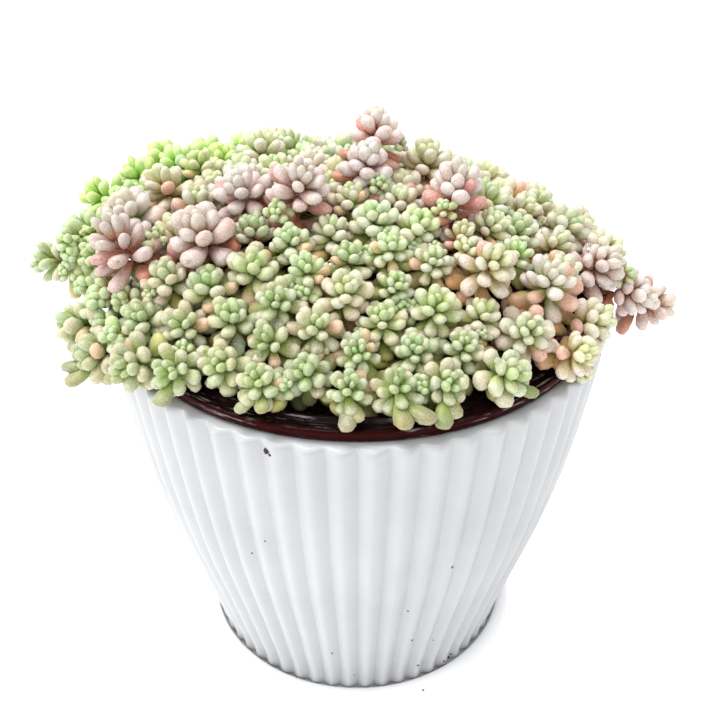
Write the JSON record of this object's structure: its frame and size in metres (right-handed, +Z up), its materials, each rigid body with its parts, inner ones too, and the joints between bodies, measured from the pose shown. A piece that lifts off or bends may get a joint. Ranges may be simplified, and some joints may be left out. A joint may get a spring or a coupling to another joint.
{
  "type": "potted sedum",
  "caption": "Mound of fat-leaved sedum rosettes in soil, in a dark nursery pot hung by its lip in a white ribbed cover pot on a round saucer.",
  "frame": {"origin": "on the table under the middle of the pot, at the saucer's flat underside", "axes": "+Z up along the pot's axis; -Y towards the side seen in the picture; +X to its right"},
  "size_m": [0.1541, 0.1248, 0.1437],
  "materials": {
    "pot": "satin white moulded plastic",
    "saucer": "smooth satin white moulded plastic",
    "liner": "wet glossy dark red-brown plastic",
    "soil": "damp crumbly potting soil",
    "mint": "waxy frosted pale green leaf",
    "lime": "waxy fresh lime green leaf",
    "blush": "waxy pale leaf blushed with peach",
    "mauve": "waxy frosted pinkish mauve leaf"
  },
  "bodies": {
    "root": {"blush_shoot_06": "blush", "blush_shoot_13": "blush", "blush_shoot_21": "blush", "blush_shoot_22": "blush", "blush_shoot_25": "blush", "blush_shoot_32": "blush", "blush_shoot_41": "blush", "blush_shoot_44": "blush", "cover_pot": "pot", "lime_shoot_26": "lime", "lime_shoot_33": "lime", "lime_shoot_37": "lime", "lime_shoot_45": "lime", "mauve_shoot_01": "mauve", "mauve_shoot_02": "mauve", "mauve_shoot_03": "mauve", "mauve_shoot_04": "mauve", "mauve_shoot_05": "mauve", "mauve_shoot_07": "mauve", "mauve_shoot_08": "mauve", "mauve_shoot_17": "mauve", "mint_shoot_09": "mint", "mint_shoot_10": "mint", "mint_shoot_11": "mint", "mint_shoot_12": "mint", "mint_shoot_14": "mint", "mint_shoot_15": "mint", "mint_shoot_16": "mint", "mint_shoot_18": "mint", "mint_shoot_19": "mint", "mint_shoot_20": "mint", "mint_shoot_23": "mint", "mint_shoot_24": "mint", "mint_shoot_27": "mint", "mint_shoot_28": "mint", "mint_shoot_29": "mint", "mint_shoot_30": "mint", "mint_shoot_31": "mint", "mint_shoot_34": "mint", "mint_shoot_35": "mint", "mint_shoot_36": "mint", "mint_shoot_38": "mint", "mint_shoot_39": "mint", "mint_shoot_40": "mint", "mint_shoot_42": "mint", "mint_shoot_43": "mint", "mint_shoot_46": "mint", "mint_shoot_47": "mint", "mint_shoot_48": "mint", "mint_shoot_49": "mint", "mint_shoot_50": "mint", "nursery_pot": "liner", "saucer": "saucer", "soil": "soil"}
  },
  "joints": []
}
